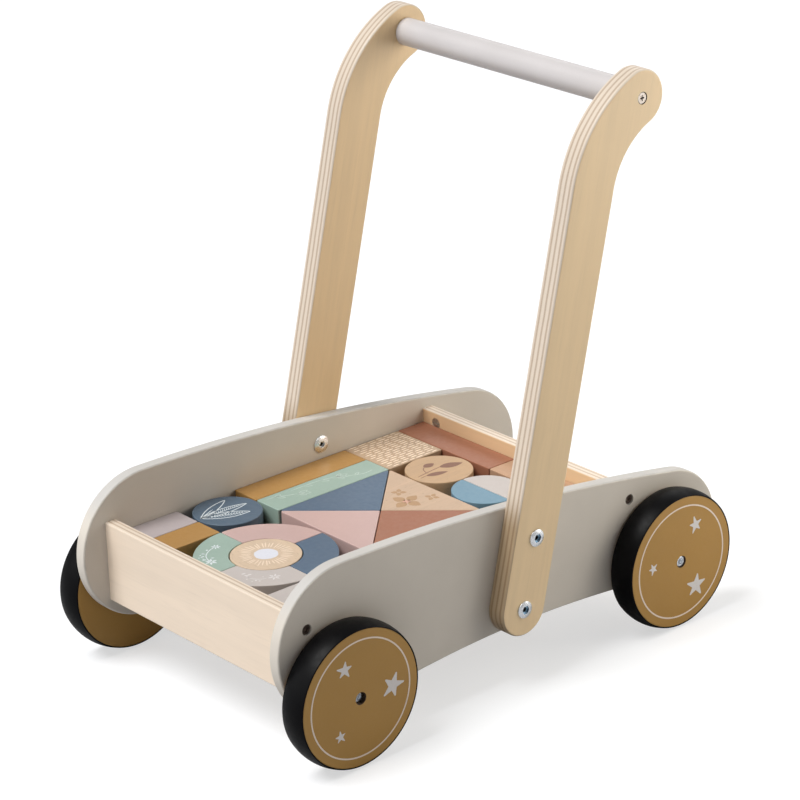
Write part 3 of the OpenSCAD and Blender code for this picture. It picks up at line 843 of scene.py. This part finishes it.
for side, hand in SIDES:
    for k, end in enumerate(("front", "rear")):
        spot = (AXLE_YS[k], TYRE_R)
        body = f"wheel_{end}_{hand}"
        pocket = FACE - RECESSES[k] - 4.7
        disc = [
            (WHEEL_IN, BORE_R),
            (WHEEL_IN, DISC_R - 0.7), (WHEEL_IN + 0.2, DISC_R - 0.2), (WHEEL_IN + 0.7, DISC_R),
            (FACE - 0.7, DISC_R), (FACE - 0.2, DISC_R - 0.2), (FACE, DISC_R - 0.7),
            (FACE, HUB_R + 0.5), (FACE - 0.15, HUB_R + 0.2), (FACE - 0.5, HUB_R),
            (pocket, HUB_R), (pocket, BORE_R),
        ]
        wheel = Shape().turned(spot, disc, side, segs=144, loop=True).piece(
            f"disc_{end}_{hand}", OCHRE, body, (f"wheel_{end}_{hand}",), "ochre_paint"
        )
        # Painted shade in the hub pocket
        line_core(wheel, spot, HUB_R + 0.4, RAW_BOARD_SHADE)
        shoulder = TYRE_R - DISC_R
        half = (WHEEL_OUT - WHEEL_IN) / 2
        middle = WHEEL_IN + half
        tread = []
        for i in range(-16, 17):
            w = half * math.sin(math.pi / 2 * i / 16)
            crown = TYRE_R - TREAD_R + math.sqrt(TREAD_R**2 - w * w)
            over = abs(w) - (half - shoulder)
            edge_r = DISC_R + math.sqrt(max(0, shoulder**2 - over**2)) if over > 0 else TYRE_R
            tread.append((middle + w, max(DISC_R + 0.02, min(crown, edge_r))))
        band = [(WHEEL_IN + 0.05, DISC_R + 0.02)] + tread[1:-1] + [(WHEEL_OUT - 0.05, DISC_R + 0.02)]
        Shape().turned(spot, band, side, segs=144, loop=True).piece(
            f"tyre_band_{end}_{hand}", RUBBER, body, (f"tyre_{end}_{hand}",), "tyre_rubber", sharp=60
        )
        for entry in frame["nodes"][f"bush_{end}_{hand}"].material_slots:
            entry.material = NYLON

        turn = WHEEL_TURNS[end] + (0 if side > 0 else 140)
        ring = tube(PRINT_LOW, PRINT_HIGH, RING_OUT, RING_IN)
        Shape().turned(spot, ring, side, segs=120, loop=True).piece(
            f"disc_ring_{end}_{hand}", INK["ring"], body
        )
        stars = Shape()
        for i, (away, angle, size, start) in enumerate(STARS):
            centre = polar(spot, away, angle + turn)
            star = star_outline(centre, size, start + turn, 7 + i)
            stars.prism(star, *between(side, PRINT_LOW, PRINT_HIGH), "x")
        stars.piece(f"disc_stars_{end}_{hand}", INK["star"], body)

# ---- toy blocks ----

COLOURS = {
    "mustard": (168, 128, 74), "navy": (83, 101, 119), "slate": (84, 104, 126), "mint": (151, 173, 163),
    "pink": (193, 165, 161), "terracotta": (154, 103, 80), "blue": (112, 145, 165), "grey": (189, 182, 179),
    "lilac": (175, 166, 168),
}
PAINTS = {
    (name, grain): paint(f"paint_{name}_{grain}", rgb, grain)
    for name, rgb in COLOURS.items() for grain in "xy"
}
WOODS = {
    name: beech("beech_" + name, rgb, grain)
    for name, rgb, grain in (
        ("sun_round", (206, 184, 160), "x"), ("natural_triangle", (192, 166, 142), "y"),
        ("dash_square", (182, 156, 130), "y"), ("sprig_round", (186, 155, 122), "y"),
        ("natural_long", (184, 148, 120), "x"),
    )
}

ROUND, FILLET = 0.6, 1.1


def middle(name):
    """Middle of a block's box, seen from above."""
    low, high = span("block_" + name)
    return (low.x + high.x) / 2, (low.y + high.y) / 2


ring_low, ring_high = span("block_sun_round")
HUB = middle("sun_round")
PUCK_R = (ring_high.x - ring_low.x) / 2
arc_low, arc_high = span("block_arc_slate")
ARC_GAP = arc_low.x - HUB[0]
ARC_OUT = math.hypot(arc_high.x - HUB[0], ARC_GAP)
ARC_IN = PUCK_R + 0.75


def arc_outline(turn):
    """One quarter of the ring of blocks, with its four corners rounded."""
    f, e = FILLET, ARC_GAP
    co = math.sqrt((ARC_OUT - f) ** 2 - (e + f) ** 2)
    ci = math.sqrt((ARC_IN + f) ** 2 - (e + f) ** 2)
    lean_o, lean_i = math.degrees(math.atan2(e + f, co)), math.degrees(math.atan2(e + f, ci))
    points = arc((co, e + f), f, -90, lean_o, 5)
    points += arc((0, 0), ARC_OUT, lean_o, 90 - lean_o, 36)[1:-1]
    points += arc((e + f, co), f, 90 - lean_o, 180, 5)
    points += arc((e + f, ci), f, 180, 270 - lean_i, 5)
    points += arc((0, 0), ARC_IN, 90 - lean_i, lean_i, 24)[1:-1]
    points += arc((ci, e + f), f, 180 + lean_i, 270, 5)
    return tidy(placed(points, HUB, turn))


def half_outline(low, high, toward):
    """Half a round block; toward is -1 for the front half."""
    f = FILLET
    centre = ((low.x + high.x) / 2, high.y if toward < 0 else low.y)
    e = 0.25
    r = (high.y - low.y) + e
    c = math.sqrt((r - f) ** 2 - (e + f) ** 2)
    lean = math.degrees(math.atan2(e + f, c))
    points = arc((c, e + f), f, -90, lean, 5) + arc((0, 0), r, lean, 180 - lean, 60)[1:-1]
    points += arc((-c, e + f), f, 180 - lean, 270, 5)
    return tidy([(centre[0] + toward * u, centre[1] + toward * (v - e)) for u, v in points])


PINK_BOX = span("block_pink_triangle")
SLATE_BOX = span("block_slate_triangle")
CROSS = (middle("pink_triangle")[0], middle("slate_triangle")[1])


def triangle_outline(turn):
    """One of the four triangles that meet at CROSS, with its three corners rounded."""
    across = (PINK_BOX[1].x - PINK_BOX[0].x) / 2
    deep = CROSS[1] - PINK_BOX[0].y
    if turn % 180:
        across = (SLATE_BOX[1].y - SLATE_BOX[0].y) / 2
        deep = CROSS[0] - SLATE_BOX[0].x
    corners = filleted([(-across, -deep), (across, -deep), (0, -0.4)], FILLET)
    return placed(corners, CROSS, turn)


BLOCKS = [body.removeprefix("block_") for body in frame["bodies"] if body.startswith("block_")]
TURNS = {
    "slate_triangle": 270, "pink_triangle": 0, "terracotta_triangle": 90, "natural_triangle": 180,
    "arc_pink": 90, "arc_slate": 0, "arc_grey": 270, "arc_mint": 180,
}
for name in BLOCKS:
    node = "block_" + name
    low, high = span(node)
    grain = "x" if high.x - low.x > high.y - low.y + 1 else "y"
    if name.endswith("round"):
        outline = disc_outline(middle(name), (high.x - low.x) / 2, 96)
    elif name.startswith("arc"):
        outline = arc_outline(TURNS[name])
    elif name.startswith("half"):
        outline = half_outline(low, high, -1 if name == "half_blue" else 1)
    elif name.endswith("triangle"):
        outline = triangle_outline(TURNS[name])
    else:
        outline = filleted(box_outline(low.x, high.x, low.y, high.y), FILLET)
    if name in WOODS:
        material, slot = WOODS[name], "beech"
    else:
        colour = next(key for key in COLOURS if key in name)
        material, slot = PAINTS[colour, grain], "paint_" + colour
    Shape().prism(outline, low.z, high.z, "z", ROUND, ROUND).piece(
        name + "_block", material, node, (node,), slot
    )

# ---- prints on the blocks ----

INK_LOW, INK_HIGH = BLOCK_TOP - 0.03, BLOCK_TOP + 0.06


def stroke(shape, points, width, taper=0.35, steps=10):
    """A printed line through points, on a smooth curve, thinner at both ends."""
    path = smooth_path(points, steps)
    left, right = [], []
    count = len(path) - 1
    for i, p in enumerate(path):
        a, b = path[max(0, i - 1)], path[min(count, i + 1)]
        d = math.hypot(b[0] - a[0], b[1] - a[1]) or 1
        n = (-(b[1] - a[1]) / d, (b[0] - a[0]) / d)
        t = i / count
        w = width / 2 * (taper + (1 - taper) * min(1, 6 * t, 6 * (1 - t)))
        left.append((p[0] + n[0] * w, p[1] + n[1] * w))
        right.append((p[0] - n[0] * w, p[1] - n[1] * w))
    low_l, high_l = (shape.ring(left, ALONG["z"], z) for z in (INK_LOW, INK_HIGH))
    low_r, high_r = (shape.ring(right, ALONG["z"], z) for z in (INK_LOW, INK_HIGH))
    new = shape.bm.faces.new
    for i in range(count):
        new((low_l[i], low_l[i + 1], high_l[i + 1], high_l[i]))
        new((low_r[i], high_r[i], high_r[i + 1], low_r[i + 1]))
        new((high_l[i], high_l[i + 1], high_r[i + 1], high_r[i]))
        new((low_l[i], low_r[i], low_r[i + 1], low_l[i + 1]))
    for i in (0, count):
        new((low_l[i], high_l[i], high_r[i], low_r[i]))


def smooth_path(points, steps):
    """Catmull-Rom curve through points."""
    if len(points) < 3:
        (u0, v0), (u1, v1) = points
        return [(u0 + (u1 - u0) * i / steps, v0 + (v1 - v0) * i / steps) for i in range(steps + 1)]
    out = []
    for i in range(len(points) - 1):
        p0, p1 = points[max(0, i - 1)], points[i]
        p2, p3 = points[i + 1], points[min(len(points) - 1, i + 2)]
        for k in range(steps):
            t = k / steps
            out.append(tuple(
                0.5 * (2 * p1[j] + (p2[j] - p0[j]) * t + (2 * p0[j] - 5 * p1[j] + 4 * p2[j] - p3[j]) * t * t
                       + (3 * p1[j] - p0[j] - 3 * p2[j] + p3[j]) * t**3)
                for j in (0, 1)
            ))
    out.append(tuple(points[-1]))
    return out


def leaf(start, angle, length, width, steps=12, blunt=1.0):
    """Outline of a leaf that starts at a point and points along an angle."""
    upper, lower = [], []
    for i in range(steps + 1):
        t = i / steps
        w = width / 2 * math.sin(math.pi * t**blunt) ** 0.85
        upper.append((length * t, w))
        lower.append((length * t, -w))
    return placed(upper + lower[-2:0:-1], start, angle)


def outlined(shape, outline, width, steps):
    """A closed printed line."""
    stroke(shape, outline + outline[:1], width, taper=1.0, steps=steps)


def printed(shape, block, ink, part="print"):
    """The shape as a piece of ink on a block."""
    shape.piece(f"{block}_{part}", INK[ink], "block_" + block)


def patch(shape, outline):
    """A flat printed area."""
    shape.prism(outline, INK_LOW, INK_HIGH)


def petals(shape, centre, r, count, turn, width=0.62, hollow=0.16):
    """A flower of separate petals round an empty middle."""
    for i in range(count):
        angle = turn + 360 * i / count
        start = polar(centre, r * hollow, angle)
        patch(shape, leaf(start, angle, r * (1 - hollow), r * width, 8, 0.8))


def dots(shape, *spots):
    """Dots, each by its distance and bearing from the middle of the ring of blocks, and radius."""
    for r, a, size in spots:
        patch(shape, disc_outline(polar(HUB, r, a), size, 14))


def leaves(shape, width, *spots):
    """Small leaves, each by distance and bearing from the same middle, direction and length."""
    for r, a, aim, length in spots:
        patch(shape, leaf(polar(HUB, r, a), aim, length, width, 8))


# Three outlined leaves on the navy round, spreading from one point
shape = Shape()
cx, cy = middle("navy_round")
root = (cx - 2.4, cy - 21.8)
for angle, length, width, hatch in ((112.6, 34, 6.6, 0), (87.0, 39, 8.0, 15), (66.0, 35.4, 9.4, 12)):
    outlined(shape, leaf(root, angle, length, width, 16), 0.75, 2)
    stroke(shape, [root, polar(root, length * (0.93 if hatch else 0.5), angle)], 0.6)
    for i in range(hatch):
        along = length * (0.2 + 0.68 * i / hatch)
        reach = width * 0.44 * math.sin(math.pi * (along / length))
        base = polar(root, along, angle)
        stroke(shape, [base, polar(base, reach, angle + 52)], 0.42, steps=3)
        if hatch < 15:
            stroke(shape, [base, polar(base, reach * 0.8, angle - 52)], 0.42, steps=3)
printed(shape, "navy_round", "soft_white")

# A sun: a soft disc and fine rays of uneven length
shape = Shape()
draw = random.Random(21)
blob = [polar(HUB, 8.4 * draw.uniform(0.97, 1.03), 15 * i) for i in range(24)]
patch(shape, blob)
printed(shape, "sun_round", "white")
shape = Shape()
count = 38
for i in range(count):
    angle = 360 * i / count + draw.uniform(-2.0, 2.0)
    start, end = 10.0 + draw.uniform(0, 1.4), 16.8 + draw.uniform(0, 3.0)
    stroke(shape, [polar(HUB, start, angle), polar(HUB, end, angle)], 0.8, taper=0.3, steps=5)
printed(shape, "sun_round", "ray", "rays")

# A curved twig with small flowers on the mint arc
shape = Shape()
bends = ((37.3, 208), (39.3, 216), (40.4, 225), (40.6, 232), (39.6, 239), (38.2, 245))
twig = [polar(HUB, r, a) for r, a in bends]
stroke(shape, twig, 0.65)
petals(shape, twig[0], 3.6, 7, 10, width=0.3)
petals(shape, twig[-1], 4.6, 6, 25, width=0.36)
dots(
    shape, (41.4, 217.5, 0.8), (43.0, 225.3, 0.7), (44.6, 229, 0.6),
    (43.7, 233, 0.7), (45.4, 234, 0.55), (42.6, 237, 0.6),
)
leaves(shape, 1.2, (41.2, 226, 228, 3.4), (41.6, 231, 255, 3.2), (40.5, 238, 262, 3.6), (37.6, 236, 60, 2.6))
printed(shape, "arc_mint", "soft_white")

# A flower, leaves and dots on the grey arc
shape = Shape()
petals(shape, polar(HUB, 37.1, 330), 4.6, 6, 12, width=0.3)
twig = [polar(HUB, r, a) for r, a in ((38.4, 322), (39.6, 316), (39.4, 308), (37.6, 300))]
stroke(shape, twig, 0.5)
leaves(shape, 1.5, (35.0, 293, 80, 3.4), (34.9, 300, 75, 3.4), (35.6, 297, 20, 3.4), (39.4, 306, 190, 3.4))
dots(
    shape, (41.9, 312, 0.7), (42.4, 315.5, 0.7), (43.6, 309, 0.5), (41.0, 303, 0.55), (36.0, 318, 0.5),
)
printed(shape, "arc_grey", "pale_grey")

# Fine vines with buds along the long mint block
shape = Shape()
cx, cy = middle("mint_long")
vines = (
    [(-7.8, -45), (-6.6, -38), (-3.0, -30), (0.4, -22)],
    [(-7.4, -24), (-7.8, -12), (-7.4, 0), (-5.6, 10), (-3.6, 16)],
    [(-0.5, 21), (3.0, 27), (5.4, 34), (4.6, 42)],
)
for vine in vines:
    stroke(shape, placed(vine, (cx, cy)), 0.6)
buds = (
    (0.0, -23, 62, 9.5), (0.0, -23, 92, 8.5), (0.0, -23, 30, 6.5), (-6.6, -38, 40, 7),
    (-6.8, -39, 95, 6), (-7.7, -12, 58, 6.5), (-7.0, 3, 45, 6.5), (-3.6, 15, 58, 9),
    (-3.6, 15, 84, 9.5), (-3.6, 15, 112, 7), (-3.6, 15, 28, 6.5), (3.0, 27, 110, 5.5),
)
for u, v, aim, length in buds:
    outlined(shape, leaf((cx + u, cy + v), aim, length, length * 0.36, 8), 0.5, 1)
printed(shape, "mint_long", "faint")

# Close rows of short dashes on the square block
shape = Shape()
low, high = span("block_dash_square")
draw = random.Random(5)
rows = 16
for i in range(rows):
    x = low.x + 1.9 + (high.x - low.x - 3.8) * i / (rows - 1)
    y = low.y + 1.4 + (2.6 if i % 2 else 0.0) + draw.uniform(0, 1.4)
    while y < high.y - 3.0:
        end = min(y + draw.uniform(4.6, 7.6), high.y - 1.4)
        lean = draw.uniform(-0.15, 0.15)
        stroke(shape, [(x - lean, y), (x + lean, end)], draw.uniform(0.85, 1.15), steps=4)
        y = end + draw.uniform(1.2, 2.0)
printed(shape, "dash_square", "cream")

# A sprig with three leaves on the natural round
shape = Shape()
cx, cy = middle("sprig_round")
for width, line in (
    (0.7, [(0.4, -20.6), (-0.8, -12), (-1.8, -4), (-2.4, 3)]),
    (0.55, [(3.4, -20.4), (3.0, -17.6), (2.8, -14.4)]),
    (0.6, [(-1.0, -11), (-3.6, -10.4), (-7.0, -8.8), (-9.8, -5.6)]),
):
    stroke(shape, placed(line, (cx, cy)), width)
sprig = ((-2.4, 2.4, 72, 18.2, 8.2), (-9.8, -6.0, 93, 10.0, 6.6), (2.8, -14.8, 74, 17.2, 5.8))
for u, v, angle, length, width in sprig:
    patch(shape, leaf((cx + u, cy + v), angle, length, width, 14, 0.9))
printed(shape, "sprig_round", "brown")

# One large and two small four-petal flowers on the natural triangle
shape = Shape()
big, *small = placed([(1.6, 22.8), (-14.2, 29.2), (8.3, 40.7)], CROSS)
petals(shape, big, 12.0, 4, 14, width=0.64, hollow=0.14)
for spot, turn in zip(small, (48, 30)):
    petals(shape, spot, 5.6, 4, turn, width=0.62, hollow=0.14)
printed(shape, "natural_triangle", "tan")
shape = Shape()
petals(shape, big, 3.4, 5, 30, width=0.6, hollow=0.3)
patch(shape, disc_outline(big, 0.8, 14))
printed(shape, "natural_triangle", "rose", "heart")

# ---- floor, light and camera ----

HALF_FLOOR = 9.0
floor_mesh = bpy.data.meshes.new("studio_floor")
corners = [(u, v, 0) for u, v in box_outline(-HALF_FLOOR, HALF_FLOOR, -HALF_FLOOR, HALF_FLOOR)]
floor_mesh.from_pydata(corners, [], [(0, 1, 2, 3)])
studio_floor = link("studio_floor", floor_mesh)
# The floor looks as white to the camera as a sweep that is lit on its own
floor_nodes = Nodes("studio_floor", roughness=0.9, specular=0.0)
floor_mesh.materials.append(floor_nodes.finish((0.42, 0.43, 0.45, 1)))
seen = floor_nodes.add("ShaderNodeLightPath").outputs["Is Camera Ray"]
floor_nodes.shader.inputs["Emission Color"].default_value = (1.0, 1.0, 1.0, 1)
floor_nodes.feed(floor_nodes.shader.inputs["Emission Strength"], floor_nodes.remap(seen, 0, 1, 0.02, 0.6))

world = bpy.data.worlds.new("studio")
bpy.context.scene.world = world
sky = Tree(world)
ambient = sky.tree.nodes["Background"]
sky.preset(ambient, {"Color": (1.0, 0.97, 0.94, 1), "Strength": 0.05})
backdrop = sky.add("ShaderNodeBackground", {"Color": (0.97, 0.97, 0.975, 1), "Strength": 1.0})
ray = sky.add("ShaderNodeLightPath").outputs
share = sky.math("MULTIPLY_ADD", ray["Is Glossy Ray"], 0.25, ray["Is Camera Ray"])
both = sky.add("ShaderNodeMixShader")
for socket, value in zip(both.inputs, (share, ambient.outputs[0], backdrop.outputs[0])):
    sky.feed(socket, value)
sky.feed(sky.tree.nodes["World Output"].inputs[0], both.outputs[0])

AIM_AT = Vector((0, 0, 0.15))
WARM = (1.0, 0.95, 0.86)


def lamp(name, kind, direction, distance, power, colour):
    """A lamp in a direction from the walker, turned to it. Metres."""
    data = bpy.data.lights.new(name, kind)
    data.energy = power
    data.color = colour
    obj = link(name, data)
    aim = Vector(direction).normalized()
    obj.location = AIM_AT + aim * distance
    obj.rotation_euler = aim.to_track_quat("Z", "Y").to_euler()
    return data


def softbox(name, direction, distance, width, height, watts, colour=(1, 1, 1)):
    """A rectangular lamp."""
    data = lamp(name, "AREA", direction, distance, watts, colour)
    data.shape = "RECTANGLE"
    data.size, data.size_y = width, height


key = lamp("key", "SUN", (-0.16, -0.45, 0.88), 0, 3.4, (1.0, 0.99, 0.97))
key.angle = math.radians(34)
softbox("front", (-0.35, -0.95, 0.22), 1.0, 1.2, 0.5, 2.2)
softbox("side", (0.85, 0.6, 0.38), 1.05, 0.9, 0.7, 1.3, WARM)
softbox("fill", (0.55, 0.85, 0.3), 0.78, 0.6, 0.6, 3.3, WARM)
softbox("rim", (-0.55, 0.75, 0.5), 2.2, 1.2, 0.8, 4.5)

AZIMUTH, ELEVATION, ROLL = (math.radians(a) for a in (49.629, 22.250, -1.758))
CAMERA_AT = Vector((1541.77, -1307.83, 1004.52)) * MM
level = Vector((math.cos(AZIMUTH), math.sin(AZIMUTH), 0))
back = Vector((level.y * math.cos(ELEVATION), -level.x * math.cos(ELEVATION), math.sin(ELEVATION)))
upright = back.cross(level)
right = level * math.cos(ROLL) + upright * math.sin(ROLL)
up = upright * math.cos(ROLL) - level * math.sin(ROLL)
camera_data = bpy.data.cameras.new("camera")
camera_data.lens = 142.373
camera_data.sensor_width = 36.0
camera_data.clip_end = 50
camera = link("camera", camera_data)
camera.matrix_world = Matrix.Translation(CAMERA_AT) @ Matrix((right, up, back)).transposed().to_4x4()
bpy.context.scene.camera = camera
bpy.context.scene.view_settings.view_transform = "Standard"
